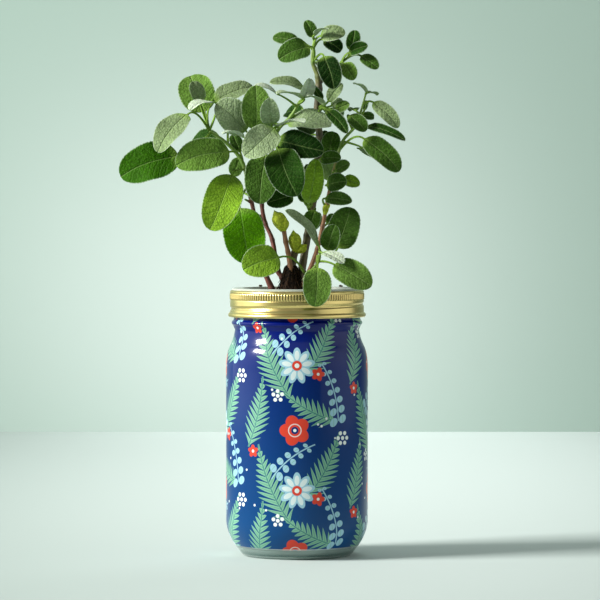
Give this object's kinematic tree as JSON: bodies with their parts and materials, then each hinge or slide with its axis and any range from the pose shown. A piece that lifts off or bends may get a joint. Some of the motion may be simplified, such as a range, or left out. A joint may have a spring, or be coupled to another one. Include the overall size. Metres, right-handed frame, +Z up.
{
  "type": "hydroponic jar planter",
  "caption": "Wide-mouth glass jar in a printed sleeve with a gold screw band, a net cup of coir hung in its mouth, a wick into the water, and a bushy sage plant.",
  "frame": {"origin": "centre of the jar's foot, on the surface it stands on", "axes": "+Z up along the jar's axis, -Y towards the front of the plant as pictured, +X to the viewer's right"},
  "size_m": [0.19, 0.101, 0.3582],
  "materials": {
    "clear_glass": "clear pressed glass with a faint green tint",
    "printed_film": null,
    "gold_tinplate": "satin gold lacquer on rolled tinplate",
    "white_plastic": "moulded white plastic",
    "felt": "off-white needled felt",
    "coir": "dark damp coir fibre",
    "red_stem": "smooth reddish bark",
    "tan_stem": "dry tan bark",
    "green_stem": "soft green bark with brown joints",
    "green_leaf": "finely pebbled leaf with a pale downy edge",
    "bright_leaf": "finely pebbled bright green leaf",
    "pale_leaf": "grey-green downy leaf",
    "yellow_green_leaf": "young yellow-green leaf buds"
  },
  "bodies": {
    "jar": {"glass_jar": "clear_glass", "printed_sleeve": "printed_film"},
    "cup": {"net_cup": "white_plastic", "wick": "felt", "coir_crumbs": "coir"},
    "band": {"screw_band": "gold_tinplate"},
    "plant": {"growing_medium": "coir", "root_crown": "coir", "left_outer_stem": "red_stem", "left_inner_stem": "red_stem", "stub_stem": "tan_stem", "crown_stem": "tan_stem", "tall_stem": "green_stem", "right_stem": "tan_stem", "front_stem": "green_stem", "stub_bud": "yellow_green_leaf", "crown_bract": "yellow_green_leaf", "right_buds": "red_stem", "far_left_leaves": "bright_leaf", "left_leaves": "green_leaf", "left_hanging_leaves": "bright_leaf", "left_back_leaves": "green_leaf", "centre_left_leaves": "pale_leaf", "centre_leaves": "green_leaf", "centre_right_leaves": "green_leaf", "centre_top_leaves": "pale_leaf", "middle_leaves": "bright_leaf", "top_tuft_leaves": "green_leaf", "top_right_leaves": "green_leaf", "upper_leaves": "green_leaf", "right_leaves": "green_leaf", "right_middle_leaves": "green_leaf", "low_right_leaves": "green_leaf", "low_left_leaf": "bright_leaf", "front_leaf": "green_leaf"}
  },
  "joints": [
    {"name": "cup_rise", "type": "slide", "parent": "jar", "child": "cup", "axis": [0, 0, 1], "range_m": [0, 0.00794]},
    {"name": "band_turn", "type": "hinge", "parent": "cup", "child": "band", "pos_m": [0, 0, 0.169], "axis": [0, 0, 1], "range_deg": [0, 450]},
    {"name": "plant_lift", "type": "slide", "parent": "cup", "child": "plant", "axis": [0, 0, 1], "range_m": [0, 0.15]}
  ],
  "couplings": [
    {"joint": "cup_rise", "follows": "band_turn", "m_per_rad": 0.0010106}
  ]
}
